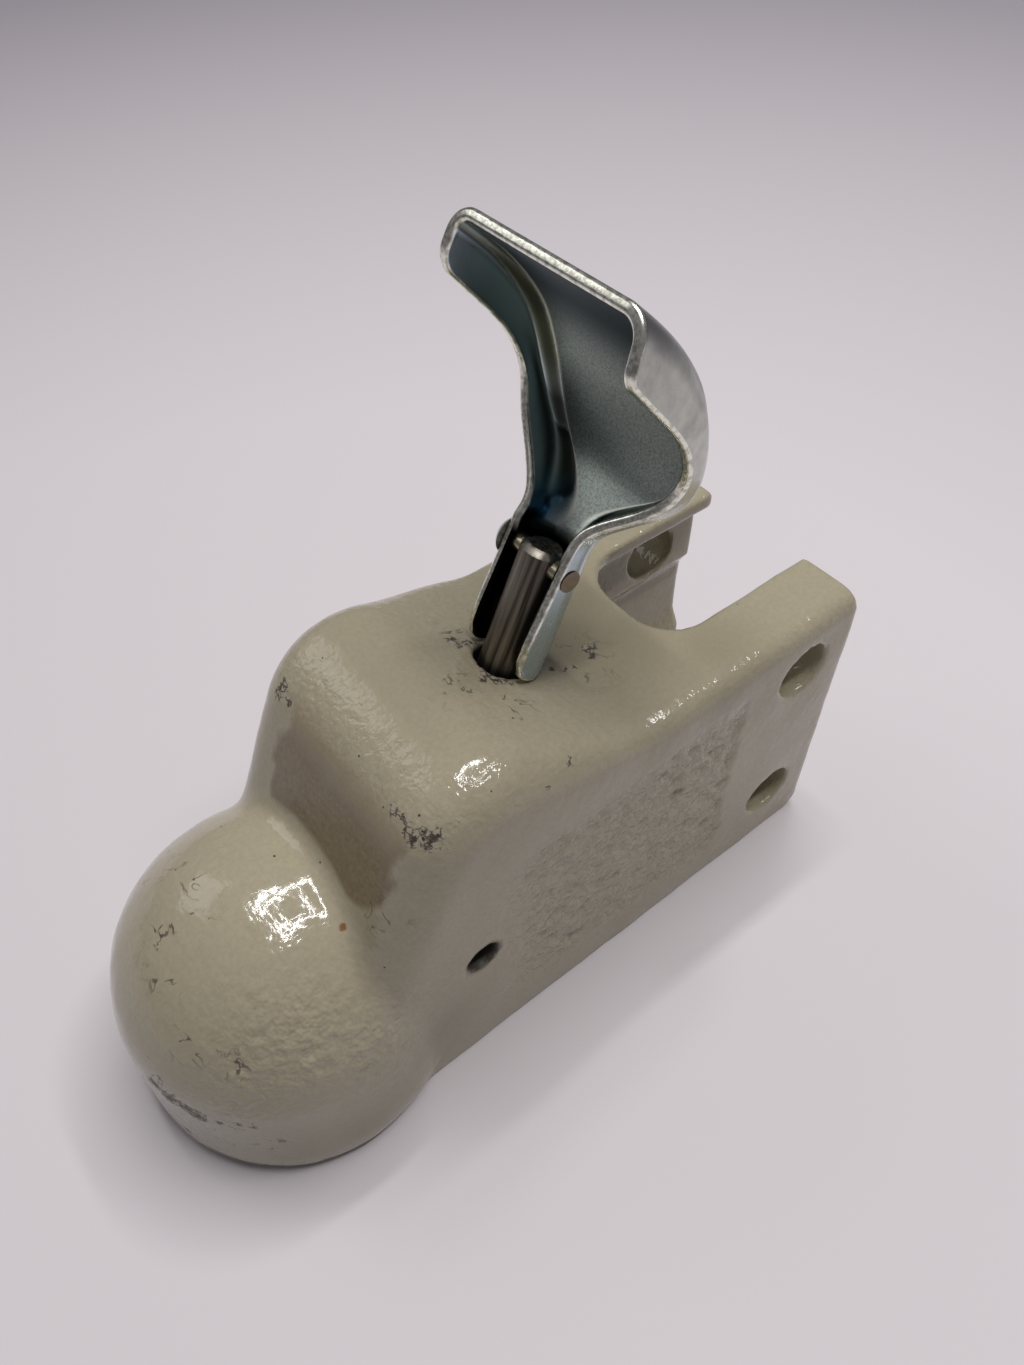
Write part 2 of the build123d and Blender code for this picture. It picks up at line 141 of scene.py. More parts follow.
# The enamel is chipped round the lock pin's hole, on the block's front corners and on the front of the dome.
set_attribute(casting, "chips", marks(points, [
    (-68.8, 3.8, 106.7, 2.4), (-69.7, 6.5, 106.3, 2.6), (-72.1, 7.7, 105.2, 2.2), (-66.5, 5.0, 107.6, 1.8),
    (-68.8, -10.5, 106.7, 2.4), (-71.5, -8.5, 105.4, 1.9), (-69.0, -7.9, 106.6, 1.7), (-73.3, -8.4, 104.6, 1.7),
    (-98.6, 6.6, 97.2, 2.2), (-100.0, 6.6, 97.2, 2.2), (-98.2, 9.0, 97.2, 1.7), (-92.2, 8.9, 97.5, 1.3),
    (-89.5, 9.0, 98.0, 1.4), (-86.0, 6.9, 99.0, 1.7), (-28.6, -25.7, 103.6, 2.5), (-27.7, -25.6, 102.5, 2.3),
    (-27.9, -21.5, 102.8, 1.9), (-29.7, -25.8, 105.0, 1.7), (-29.9, 21.5, 105.1, 2.0), (-30.5, 24.5, 105.8, 1.6),
    (-29.5, 27.2, 104.5, 2.3), (-29.5, 29.1, 103.7, 3.0), (-31.4, 30.6, 104.9, 2.8), (-32.4, 32.4, 104.5, 3.0),
    (-33.6, 32.7, 105.3, 2.0), (-31.2, 32.5, 103.1, 2.4), (40.7, 12.1, 43.0, 3.0), (39.4, 16.6, 40.8, 4.2),
    (37.6, 20.7, 39.2, 4.2), (36.1, 23.2, 37.5, 4.0), (32.7, 27.8, 37.1, 1.7), (29.4, 31.3, 37.8, 1.5),
    (26.8, 33.6, 36.8, 1.6), (40.7, 15.4, 15.4, 2.2), (23.1, 36.6, 26.2, 1.7), (25.2, 24.2, 61.2, 1.1),
    (-60.3, 36.8, 103.3, 1.2), (-38.1, 33.9, 107.1, 1.0), (-68.7, 34.7, 104.0, 1.4),
]))

# Painted shade darkens the valley behind the block, the arms beside it and the dome's foot.
set_attribute(casting, "painted_hollow_shade", marks(points, [
    (-112, 10, 92, 20), (-112, -10, 92, 20), (-124, 26, 98, 15), (-100, 0, 98, 14), (-140, -34, 88, 18),
    (24, 34, 20, 24), (38, 14, 20, 22), (2, 42, 20, 20), (-24, 40, 24, 16),
]))

# Thin dark scratches cross the dome, the block's top round the lock pin and the dome's front.
set_attribute(casting, "hairlines", marks(points, [
    (15.4, -26.6, 66.2, 5), (12.2, -16.9, 73.8, 5), (10.5, -9.5, 76.8, 4), (19.2, -10.4, 73.2, 5),
    (18.1, -2.0, 75.1, 5), (13.7, -0.1, 77.0, 4), (23.1, -5.0, 72.1, 6), (27.1, 4.2, 69.3, 5), (30.2, 18.0, 60.9, 5),
    (23.3, 28.1, 58.9, 4), (31.6, -20.9, 56.4, 5), (-66.2, 14.5, 107.8, 7), (-94.0, 9.0, 97.2, 7),
    (-70.0, -11.0, 106.0, 5), (-58.0, 6.0, 109.0, 6), (-19.3, 29.0, 81.0, 6), (28.0, 36.0, 25.0, 8),
    (38.0, 19.0, 38.0, 9), (41.0, 10.0, 40.0, 7), (33.0, 27.0, 36.0, 8), (40.0, 14.0, 47.0, 6), (35.0, 25.0, 28.0, 8),
]))

# A brown patch covers the block's front face down to the crease over the dome: partly a stain that ran down and dried
# in the crease, partly painted shade and a painted dark reflection. Its edges stray by waves.
dark_front_edge, dark_front_foot, dark_front_fade, dark_front_facing, dark_front_back, dark_front_stray = 1.6, 1.2, (111, 92), (0.15, 0.5), -45, 0.9
left_edge = np.interp(z, [78.2, 89.5, 94.0, 99.1, 105.2], [-18.2, -21.0, -21.5, -17.4, -21.8])
right_edge = np.interp(z, [78.0, 85.4, 98.3, 101.2], [22.0, 28.5, 28.7, 30.1])
crease = np.interp(y, [-18.0, -7.4, 1.9, 9.5, 17.7, 24.0], [78.2, 80.8, 81.3, 80.6, 78.1, 79.0])
strayed = y + dark_front_stray * waves(points, [7, 5.5, 4.5, 3.6], 17)
front_stain_and_shade = smooth(strayed - left_edge, -dark_front_edge, dark_front_edge) * smooth(right_edge - strayed, -dark_front_edge, dark_front_edge)
front_stain_and_shade *= smooth(z - crease, -dark_front_foot, dark_front_foot) * smooth(z, *dark_front_fade)
front_stain_and_shade *= smooth(outward[:, 0], *dark_front_facing) * (x > dark_front_back)
set_attribute(casting, "front_stain_and_shade", front_stain_and_shade)

# The enamel sagged into orange peel on the rounded upper edges, and lies smoother on the flats and the dome.
peel_on_flats, off_upright, off_level, behind_dome = 0.22, (0.1, 0.35), (0.985, 0.94), (-22, -34)
upper_edges = smooth(outward[:, 2], *off_upright) * smooth(outward[:, 2], *off_level) * smooth(x, *behind_dome)
set_attribute(casting, "peel", peel_on_flats + (1 - peel_on_flats) * upper_edges)

# Black grease with painted shade fills the lock pin's hole round the pin's leaning axis, and painted shade darkens
# the inside of the pivot pin's hole.
# Upward runs along the lock pin and forward square to it, both in the plane of x and z.
lean = np.radians(24.4)
upward = np.array([-np.sin(lean), np.cos(lean)])
forward = np.array([np.cos(lean), np.sin(lean)])
pin_foot, pin_hole = np.array([-76.0446, 103.37]), (7.9, 7.1)
pivot_x, pivot_z, pivot_hole, pivot_depth, pivot_shade_strength = -39.46, 48.5, (5.9, 5.0), (42.2, 40.4), 0.85
off_pin = np.hypot((points[:, [0, 2]] - pin_foot) @ forward, points[:, 1])
off_pivot = np.hypot(x - pivot_x, z - pivot_z)
# The darkening of the pivot pin's hole is painted shade.
pivot_shaded = pivot_shade_strength * smooth(off_pivot, *pivot_hole) * smooth(np.abs(y), *pivot_depth)
set_attribute(casting, "grease_and_shade", np.maximum(smooth(off_pin, *pin_hole), pivot_shaded))


def paint(code):
    """Linear RGBA of an sRGB hex colour: v / 12.92 up to 0.04045, else ((v + 0.055) / 1.055) to the power 2.4."""
    v = np.array([int(code[i:i + 2], 16) for i in (1, 3, 5)]) / 255
    return (*np.where(v <= 0.04045, v / 12.92, ((v + 0.055) / 1.055) ** 2.4), 1.0)


def wire(node, sockets):
    """Gives each named socket of a node a value, or a link from another node's output."""
    for name, value in sockets.items():
        if isinstance(value, bpy.types.NodeSocket):
            node.id_data.links.new(value, node.inputs[name])
        else:
            node.inputs[name].default_value = value


def added_node(tree, kind, sockets=None, **settings):
    """Adds a shader node to a tree, sets its properties, then its sockets."""
    new = tree.nodes.new("ShaderNode" + kind)
    for name, value in settings.items():
        setattr(new, name, value)
    wire(new, sockets or {})
    return new


def begun_finish(name):
    """Starts a material: gives it, the call that adds a node to it, its shader, and its Object coordinates."""
    finish = bpy.data.materials.new(name)
    finish.use_nodes = True
    add = partial(added_node, finish.node_tree)
    return finish, add, finish.node_tree.nodes["Principled BSDF"], add("TexCoord").outputs["Object"]


def coat(piece, finish):
    """Makes a material the piece's only one."""
    piece.data.materials.clear()
    piece.data.materials.append(finish)


# Gloss enamel: a thick warm-grey dip coat with a wet shine. It gathers in an orange peel that breaks up every
# highlight, is torn down to dark iron in places, and holds dust specks and dark hairline scratches.
# Grain, cracks and peel are drawn coarser than the real ones, so that they show.
rust_spot = np.array([-11.8, 21.4, 73.4])
enamel, add, shader, at = begun_finish("gloss enamel on sand-cast iron")
laid = {name: add("Attribute", attribute_name=name).outputs["Fac"]
        for name in ("panel", "chips", "painted_hollow_shade", "hairlines", "front_stain_and_shade", "peel", "grease_and_shade")}
cloudy = add("TexNoise", {"Vector": at, "Scale": 1 / (30 * mm), "Detail": 3.0}).outputs["Fac"]
grain = add("TexNoise", {"Vector": at, "Scale": 1 / (1.3 * mm), "Detail": 6.0, "Roughness": 0.72})
centred = add("Math", {0: grain.outputs["Fac"], 1: 0.5}, operation="SUBTRACT").outputs[0]
speckle = add("MapRange", {"Value": grain.outputs["Fac"], "From Min": 0.3, "From Max": 0.7}).outputs[0]
tone = add("Mix", {0: cloudy, 6: paint("#ACA48D"), 7: paint("#A19781")}, data_type="RGBA").outputs[2]
tone = add("Mix", {0: speckle, 6: tone, 7: paint("#9B927C")}, data_type="RGBA").outputs[2]
# painted shade in the hollows, and the dried brown stain with painted shade in it, with its grain
hollow_shade_cover = add("Math", {0: laid["painted_hollow_shade"], 1: 0.55}, operation="MULTIPLY").outputs[0]
rough_stain_and_shade = add("Math", {0: centred, 1: 0.6, 2: laid["front_stain_and_shade"]}, operation="MULTIPLY_ADD").outputs[0]
stain_and_shade_cover = add("MapRange", {"Value": rough_stain_and_shade, "From Min": 0.1, "From Max": 0.9, "To Max": 0.85}).outputs[0]
brown = add("Mix", {0: cloudy, 6: paint("#5E5239"), 7: paint("#645138")}, data_type="RGBA").outputs[2]
brown = add("Mix", {0: speckle, 6: brown, 7: paint("#86765A")}, data_type="RGBA").outputs[2]
# chips: the coat lifts in pale flakes, then cracks in a net, then is gone
spread = add("Math", {0: laid["chips"], 1: 0.62}, operation="MULTIPLY").outputs[0]
worn = add("Math", {0: centred, 1: 1.3, 2: spread}, operation="MULTIPLY_ADD").outputs[0]
flaked = add("MapRange", {"Value": worn, "From Min": 0.34, "From Max": 0.42, "To Max": 0.6}).outputs[0]
jag = (1.6 * mm,) * 3
jagged = add("VectorMath", {0: grain.outputs["Color"], 1: jag, 2: at}, operation="MULTIPLY_ADD").outputs[0]
net = add("TexVoronoi", {"Vector": jagged, "Scale": 1 / (1.7 * mm)}, feature="DISTANCE_TO_EDGE").outputs["Distance"]
crack = add("MapRange", {"Value": net, "From Min": 0.11, "From Max": 0.05}).outputs[0]
cracked = add("MapRange", {"Value": worn, "From Min": 0.36, "From Max": 0.46, "To Max": 0.85}).outputs[0]
crack = add("Math", {0: crack, 1: cracked}, operation="MULTIPLY").outputs[0]
bare = add("MapRange", {"Value": worn, "From Min": 0.56, "From Max": 0.62}).outputs[0]
bare = add("Math", {0: bare, 1: crack}, operation="MAXIMUM").outputs[0]
# hairlines: where a slow noise crosses its middle value, broken off in patches
wander = add("TexNoise", {"Vector": at, "Scale": 1 / (8 * mm), "Detail": 3.0, "Distortion": 0.8}).outputs["Fac"]
off_line = add("Math", {0: wander, 1: 0.5}, operation="SUBTRACT").outputs[0]
off_line = add("Math", {0: off_line}, operation="ABSOLUTE").outputs[0]
line = add("MapRange", {"Value": off_line, "From Min": 0.022, "From Max": 0.008}).outputs[0]
patch = add("TexNoise", {"Vector": at, "Scale": 1 / (5 * mm), "Detail": 1.0}).outputs["Fac"]
broken = add("MapRange", {"Value": patch, "From Min": 0.5, "From Max": 0.56, "To Max": 0.9}).outputs[0]
line = add("Math", {0: line, 1: broken}, operation="MULTIPLY").outputs[0]
line = add("Math", {0: line, 1: laid["hairlines"]}, operation="MULTIPLY").outputs[0]
# dust specks in some of the cells of a 7 mm net, and one spot of rust over the dome
dust = add("TexVoronoi", {"Vector": at, "Scale": 1 / (7 * mm)})
speck = add("MapRange", {"Value": dust.outputs["Distance"], "From Min": 0.055, "From Max": 0.035}).outputs[0]
chance = add("Math", {0: dust.outputs["Color"], 1: 0.62}, operation="GREATER_THAN").outputs[0]
speck = add("Math", {0: speck, 1: chance}, operation="MULTIPLY").outputs[0]
to_spot = add("VectorMath", {0: at, 1: rust_spot * mm}, operation="DISTANCE").outputs["Value"]
frayed = add("Math", {0: centred, 1: 2.0 * mm, 2: to_spot}, operation="MULTIPLY_ADD").outputs[0]
rust = add("MapRange", {"Value": frayed, "From Min": 1.2 * mm, "From Max": 0.7 * mm, "To Max": 0.9}).outputs[0]
# Among these covers, the hollows' is painted shade, and the stain's and the holes' are partly painted shade.
for cover, colour in (
    (hollow_shade_cover, paint("#7E7762")), (stain_and_shade_cover, brown), (flaked, paint("#A39A8A")), (bare, paint("#43382E")),
    (line, paint("#3B342D")), (speck, paint("#453C33")), (rust, paint("#7A4F2E")), (laid["grease_and_shade"], paint("#15120F")),
):
    tone = add("Mix", {0: cover, 6: tone, 7: colour}, data_type="RGBA").outputs[2]
gloss = 0.11
for cover, dull in ((flaked, 0.75), (stain_and_shade_cover, 0.30), (laid["grease_and_shade"], 0.6)):
    gloss = add("Mix", {0: cover, 2: gloss, 3: dull}).outputs[0]
# relief, one on the other: orange peel, long sags of the dip coat, pebbles of the sand, and sunken chips
peel = add("TexNoise", {"Vector": at, "Scale": 1 / (2.0 * mm), "Detail": 2.0, "Distortion": 0.5}).outputs["Fac"]
swept = add("Mapping", {"Vector": at, "Rotation": (0.5, 0.3, 0.9), "Scale": (1, 0.28, 1)}).outputs[0]
sags = add("TexNoise", {"Vector": swept, "Scale": 1 / (3.2 * mm), "Detail": 2.0}).outputs["Fac"]
lumps = add("TexNoise", {"Vector": at, "Scale": 1 / (1.9 * mm), "Detail": 1.0}).outputs["Fac"]
relief = {}
for height, strength, deep, sunk in (
    (peel, laid["peel"], 0.3, False), (sags, 0.5, 0.3, False), (lumps, laid["panel"], 0.9, False),
    (bare, 0.8, 0.25, True),
):
    bump = add("Bump", {"Height": height, "Strength": strength, "Distance": deep * mm, **relief}, invert=sunk)
    relief = {"Normal": bump.outputs[0]}
wire(shader, {"Base Color": tone, "Roughness": gloss, **relief})
coat(casting, enamel)
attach(casting, "housing")
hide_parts("housing")

# Clamp pivot pin, spring, washer and retaining pin: plain steel parts inside the casting, oiled and left bare.
# The pivot pin is pressed into the side walls, and the others sit on the lock pin.
# Oiled bright steel has a soft grey-brown shine, clouded where the oil lies thicker.
steel, add, shader, at = begun_finish("oiled bright steel")
oil = add("TexNoise", {"Vector": at, "Scale": 1 / (4 * mm), "Detail": 3.0}).outputs["Fac"]
tone = add("Mix", {0: oil, 6: paint("#8A847A"), 7: paint("#655D52")}, data_type="RGBA").outputs[2]
wire(shader, {"Base Color": tone, "Metallic": 1.0, "Roughness": 0.38})
for name in ("clamp_pivot_pin", "lock_spring", "spring_washer", "spring_retaining_pin"):
    coat(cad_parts[name], steel)

# Ball clamp: the small iron jaw that swings on the pivot pin and holds the ball from behind and below.
# It was cast and never painted, and bare cast iron is dull, grainy and dark with oil.
iron, add, shader, at = begun_finish("bare cast iron")
skin = add("TexNoise", {"Vector": at, "Scale": 1 / (2 * mm), "Detail": 5.0}).outputs["Fac"]
tone = add("Mix", {0: skin, 6: paint("#4A4744"), 7: paint("#6B645C")}, data_type="RGBA").outputs[2]
rough = add("Bump", {"Height": skin, "Strength": 0.4, "Distance": 0.4 * mm}).outputs[0]
wire(shader, {"Base Color": tone, "Metallic": 0.6, "Roughness": 0.55, "Normal": rough})
coat(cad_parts["ball_clamp"], iron)

# Lock pin: a drawn steel rod that leans back through the block, brown with old grease and streaked lengthwise.
# The chamfer round its top is rubbed bright by the handle and carries a painted highlight.
# The pin's top is measured along its own axis.
pin_top, chamfer_begins, chamfer_ends = 158.6, (-1.7, -1.1), (-0.1, -0.5)
rod, add, shader, at = begun_finish("drawn steel under old grease")
along = add("Mapping", {"Vector": at, "Rotation": (0, lean, 0)}).outputs[0]
stretched = add("Mapping", {"Vector": along, "Scale": (1, 1, 0.04)}).outputs[0]
streak = add("TexNoise", {"Vector": stretched, "Scale": 1 / (1.1 * mm), "Detail": 4.0}).outputs["Fac"]
drawn = add("MapRange", {"Value": streak, "From Min": 0.35, "From Max": 0.65}).outputs[0]
height = add("SeparateXYZ", {0: along}).outputs["Z"]
rubbed_and_highlit = streak
for start, end in (chamfer_begins, chamfer_ends):
    band = add("MapRange", {"Value": height, "From Min": (pin_top + start) * mm, "From Max": (pin_top + end) * mm})
    rubbed_and_highlit = add("Math", {0: rubbed_and_highlit, 1: band.outputs[0]}, operation="MULTIPLY").outputs[0]
tone = add("Mix", {0: drawn, 6: paint("#48433C"), 7: paint("#979085")}, data_type="RGBA").outputs[2]
tone = add("Mix", {0: rubbed_and_highlit, 6: tone, 7: paint("#B9B3A6")}, data_type="RGBA").outputs[2]
wire(shader, {"Base Color": tone, "Metallic": 1.0, "Roughness": 0.42})
coat(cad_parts["lock_pin"], rod)

# Handle: one pressing of 2.6 mm steel sheet, zinc plated after the press. Two ears straddle the lock pin, and above
# them the channel flares into a scoop that curls forward. Its edges were sheared, then tumbled round and bright.
# Up and ahead are measured from the rivet's axis, along the lock pin and square to it.
rivet_axis = np.array([-88.2519, 130.2807])
sheet, edge_round, edge_strip = 2.6, 0.9, 1.4
ear_half, ear_front, ear_neck, ear_back = 10.3, 5.2, 3.0, 8.8
ear_tip_up, ear_tip_radius, ear_top, web_bottom = -23.0, 6.0, 6.5, -20.0
ear_bend, scoop_bend = 7.4, 5.4
far_corner, near_corner = 4.5, 2.6
# web (up, ahead), flange edge (up, ahead), half width at the web and at the edge, from the rivet to the scoop's end
stations = np.array([
    (6.5, -8.8, 6.5, 3.0, 10.3, 10.3), (12.0, -11.5, 12.6, 1.0, 11.0, 11.5), (18.8, -15.0, 20.0, -1.6, 16.8, 18.8),
    (26.5, -15.3, 26.8, -2.5, 23.2, 24.7), (37.5, -10.8, 33.7, -1.4, 26.4, 27.5), (48.5, -3.2, 40.6, 4.2, 27.2, 28.7),
    (55.8, 4.8, 45.6, 12.0, 27.4, 29.0), (62.2, 16.4, 49.8, 20.8, 27.4, 29.1), (67.1, 30.0, 54.2, 30.0, 27.4, 29.1),
])
ear_count, station_count = 32, 76
flange_steps, arc_steps, web_steps = 9, 20, 16


def through(knots, rows):
    """Natural cubic spline through equally spaced knots, sampled at rows: a + b f + c f^2 + d f^3 on each span,
    with the second derivatives from the usual tridiagonal equations."""
    n = len(knots)
    system = np.eye(n)
    inner = np.arange(1, n - 1)
    system[inner, inner - 1], system[inner, inner], system[inner, inner + 1] = 1, 4, 1
    pull = np.zeros_like(knots)
    pull[1:-1] = 6 * (knots[2:] - 2 * knots[1:-1] + knots[:-2])
    bend = np.linalg.solve(system, pull)
    i = np.minimum(rows.astype(int), n - 2)
    f = (rows - i)[:, None]
    a, b = knots[i], knots[i + 1]
    return a * (1 - f) + b * f + ((1 - f) ** 3 - (1 - f)) * bend[i] / 6 + (f**3 - f) * bend[i + 1] / 6


def channel_rows(depth, half_web, half_edge, bend, crease):
    """Middle of the pressed sheet in each row's own plane, as (across, depth) from the left edge to the right one:
    a straight flange, a bend tangent to flange and web, and a straight web, then the same mirrored. The bend's path
    is the running sum of its direction, which turns evenly where crease is 0 and in two short bends where it is 1.
    Each argument holds one number per row: depth, half width at web and edge, bend radius and crease."""
    corner = np.stack([half_web - sheet / 2, np.full_like(depth, sheet / 2)], 1)
    edge = np.stack([half_edge - sheet / 2, depth], 1)
    to_edge = (edge - corner) / np.linalg.norm(edge - corner, axis=1)[:, None]
    to_web = np.array([-1.0, 0.0])
    half = np.arccos(to_edge @ to_web) / 2
    leave = corner + to_edge * (bend / np.tan(half))[:, None]
    meet = corner + to_web * (bend / np.tan(half))[:, None]
    first = (edge_strip / np.linalg.norm(leave - edge, axis=1))[:, None, None]
    k = np.concatenate([0 * first, first + (1 - first) * np.linspace(0, 1, flange_steps - 1)[None, :, None]], 1)
    straight = edge[:, None] * (1 - k) + leave[:, None] * k
    k = (np.arange(arc_steps)[None, :] + 0.5) / arc_steps
    turned_share = (1 - crease[:, None]) * k + crease[:, None] * (smooth(k, 0, 0.34) + smooth(k, 0.66, 1)) / 2
    angle = ((np.pi - 2 * half)[:, None] * turned_share)[:, :, None]
    square = to_web - to_edge * (to_edge @ to_web)[:, None]
    square /= np.linalg.norm(square, axis=1)[:, None]
    step = -np.cos(angle) * to_edge[:, None] + np.sin(angle) * square[:, None]
    path = np.cumsum(step, 1)
    reach = np.linalg.norm(meet - leave, axis=1) / np.linalg.norm(path[:, -1], axis=1)
    turned = leave[:, None] + path * reach[:, None, None]
    k = np.linspace(0, 1, web_steps + 1)[None, 1:, None]
    across = meet[:, None] * (1 - k) + meet[:, None] * np.array([0.0, 1.0]) * k
    left = np.concatenate([straight, turned, across], 1)
    return np.concatenate([left, left[:, -2::-1] * np.array([-1.0, 1.0])], 1)


def rounded(a, b):
    """Square corner to round corner, in rings: with s the larger of a and b, a becomes a sqrt(1 - (b / s)^2 / 2),
    and b becomes b sqrt(1 - (a / s)^2 / 2)."""
    s = np.maximum(np.maximum(a, b), 1e-9)
    return a * np.sqrt(1 - (b / s) ** 2 / 2), b * np.sqrt(1 - (a / s) ** 2 / 2)


# Rows run from the ears' tips to the scoop's end, and columns from the left edge over the web to the right edge.
tip_end = ear_tip_up - ear_tip_radius
ear_rows = np.linspace(tip_end, ear_top, ear_count, endpoint=False)
ear_edge = np.interp(ear_rows, [ear_tip_up, ear_top], [ear_front, ear_neck])
level = np.ones_like(ear_rows)
lower = np.stack([ear_rows, -ear_back * level, ear_rows, ear_edge, ear_half * level, ear_half * level], 1)
station = np.linspace(0, len(stations) - 1, station_count)
lines = np.concatenate([lower, through(stations, station)])
station = np.concatenate([0 * ear_rows, station])
heel, rim = lines[:, :2], lines[:, 2:4]
depth = np.linalg.norm(rim - heel, axis=1)
flare = smooth(station, 0.6, 2.6)
bend = ear_bend + (scoop_bend - ear_bend) * flare
flat = channel_rows(depth, lines[:, 4], lines[:, 5], bend, flare * smooth(station, 7.6, 5.5))
toward = (rim - heel) / depth[:, None]
spot = heel[:, None] + toward[:, None] * flat[:, :, 1:]
# The lower edge, unrolled: a half round under each ear, and between the ears an elliptic arch up to the web.
half_row = flat[0, :flat.shape[1] // 2 + 1]
run = np.cumsum(np.linalg.norm(np.diff(half_row, axis=0, prepend=half_row[:1]), axis=1))
from_tip = ear_tip_radius - run
half_arch = -ear_tip_radius - from_tip[-1]
round_tip = ear_tip_up - np.sqrt(np.clip(ear_tip_radius**2 - from_tip**2, 0, None))
in_arch = np.clip(1 - ((from_tip - from_tip[-1]) / half_arch) ** 2, 0, 1)
arch = ear_tip_up + (web_bottom - ear_tip_up) * np.sqrt(in_arch)
lower_edge = np.where(from_tip > -ear_tip_radius, round_tip, arch)
lower_edge = np.concatenate([lower_edge, lower_edge[-2::-1]])
k = ((ear_rows - tip_end) / (ear_top - tip_end))[:, None]
spot[:ear_count, :, 0] = lower_edge * (1 - k) + ear_top * k
place = rivet_axis + spot[:, :, :1] * upward + spot[:, :, 1:] * forward
grid = np.stack([place[:, :, 0], flat[:, :, 0], place[:, :, 1]], 2)
# The scoop's two front corners are rounded off, within a radius of its end and of the flange's edge.
for side, radius in ((slice(0, flange_steps), near_corner), (slice(-1, -flange_steps - 1, -1), far_corner)):
    strip = grid[:, side]
    to_end = np.linalg.norm(strip - strip[-1:], axis=2)
    to_rim = np.linalg.norm(strip - strip[:, :1], axis=2)
    a, b = np.clip(1 - to_end / radius, 0, 1), np.clip(1 - to_rim / radius, 0, 1)
    round_a, round_b = rounded(a, b)
    endward = strip[-1] - strip[-6]
    endward /= np.linalg.norm(endward, axis=1)[:, None]
    webward = strip[:, -1] - strip[:, 0]
    webward /= np.linalg.norm(webward, axis=1)[:, None]
    pulled_back = ((a - round_a) * radius)[:, :, None] * endward
    grid[:, side] = strip - pulled_back + ((b - round_b) * radius)[:, :, None] * webward[:, None]
rows, columns = grid.shape[:2]
number = np.arange(rows * columns).reshape(rows, columns)
quads = np.stack([number[:-1, :-1], number[:-1, 1:], number[1:, 1:], number[1:, :-1]], 2)
pressing = bpy.data.meshes.new("handle_pressing")
pressing.from_pydata((grid.reshape(-1, 3) * mm).tolist(), [], quads.reshape(-1, 4).tolist())
pressing.shade_smooth()
scoop = bpy.data.objects.new("handle_pressing", pressing)
bpy.context.scene.collection.objects.link(scoop)

# Where the finishes and the painted light change: by the height over the rivet, by the station, and by the column
# from the web's middle. Painted highlights make the bend's two ridges bright, with painted shade in the groove
# between them and a dark stripe of painted shade beside it.
ridge, ridge_width, outer_ridge, groove_width = 0.14, 0.07, 0.7, 0.24
stripe, stripe_width = web_steps + arc_steps + 1.5, 3
up, of_station = np.repeat(lines[:, 0], columns), np.repeat(station, columns)
off_middle = np.tile(np.abs(np.arange(columns) - columns // 2), rows)
in_flange = smooth(off_middle, web_steps, web_steps + arc_steps)
across_bend = (off_middle - web_steps + 0.5) / arc_steps
pressed = smooth(up, 4, 12) * smooth(of_station, 7.9, 6.6)
ridge_highlights = np.exp(-((across_bend - ridge) / ridge_width) ** 2)
ridge_highlights += outer_ridge * np.exp(-((across_bend - 1 + ridge) / ridge_width) ** 2)
striped = np.exp(-((off_middle - stripe) / stripe_width) ** 2)
for name, values in (
    ("grease_and_shade", smooth(up, 7, 2)),
    ("cool", smooth(up, 24, 1)),
    ("flange", in_flange),
    ("ridge_highlights", pressed * ridge_highlights),
    ("corner", in_flange * smooth(of_station, 6.4, 8)),
    ("deep", striped * smooth(up, 8, 14) * smooth(up, 54, 36)),
    ("groove_shade", pressed * np.exp(-((across_bend - 0.5) / groove_width) ** 4)),
    ("height", smooth(up, 36, 64)),
    ("blue", in_flange * smooth(up, 2, 6) * smooth(up, 17, 9)),
):
    set_attribute(scoop, name, values)
wall = scoop.modifiers.new("sheet", "SOLIDIFY")
wall.thickness = sheet * mm
wall.offset = 0.0
wall.use_even_offset = True
wall.material_offset = 1
wall.material_offset_rim = 2
tumbled = scoop.modifiers.new("worn edges", "BEVEL")
tumbled.width = edge_round * mm
tumbled.use_clamp_overlap = False
tumbled.segments = 4
tumbled.limit_method = "ANGLE"
tumbled.angle_limit = np.radians(50)
tumbled.material = 3

# Bright zinc plate: a satin grey metal with faint clouds from the bath. A painted reflection makes the scoop's
# flanges brightest and lightens its lower part, painted shade makes the bends beside the flanges darkest, and the
# ears are cool and bluish.
zinc, add, shader, at = begun_finish("bright zinc plate on pressed steel")
laid = {name: add("Attribute", attribute_name=name).outputs["Fac"] for name in ("flange", "height", "cool")}
cloud = add("TexNoise", {"Vector": at, "Scale": 1 / (5 * mm), "Detail": 5.0, "Roughness": 0.6}).outputs["Fac"]
flange_sheen = add("MapRange", {"Value": laid["flange"], "From Min": 0.45, "From Max": 1.0}).outputs[0]
bend_shade = add("MapRange", {"Value": laid["flange"], "From Min": 0.02, "From Max": 0.3}).outputs[0]
# The bends get painted shade, and the flanges and the lower part a painted reflection.
tone = add("Mix", {0: bend_shade, 6: paint("#B2B4AE"), 7: paint("#6A6C68")}, data_type="RGBA").outputs[2]
tone = add("Mix", {0: flange_sheen, 6: tone, 7: paint("#DEDED3")}, data_type="RGBA").outputs[2]
tone = add("Mix", {0: laid["height"], 6: paint("#DADAD0"), 7: tone}, data_type="RGBA").outputs[2]
tone = add("Mix", {0: cloud, 6: tone, 7: paint("#8B8F8C")}, data_type="RGBA").outputs[2]
cool = add("Mix", {0: cloud, 6: paint("#C3D2DD"), 7: paint("#A3B4BE")}, data_type="RGBA").outputs[2]
tone = add("Mix", {0: laid["cool"], 6: tone, 7: cool}, data_type="RGBA").outputs[2]
satin = add("MapRange", {"Value": cloud, "From Min": 0.3, "From Max": 0.7, "To Min": 0.2, "To Max": 0.34}).outputs[0]
wire(shader, {"Base Color": tone, "Metallic": 1.0, "Roughness": satin})

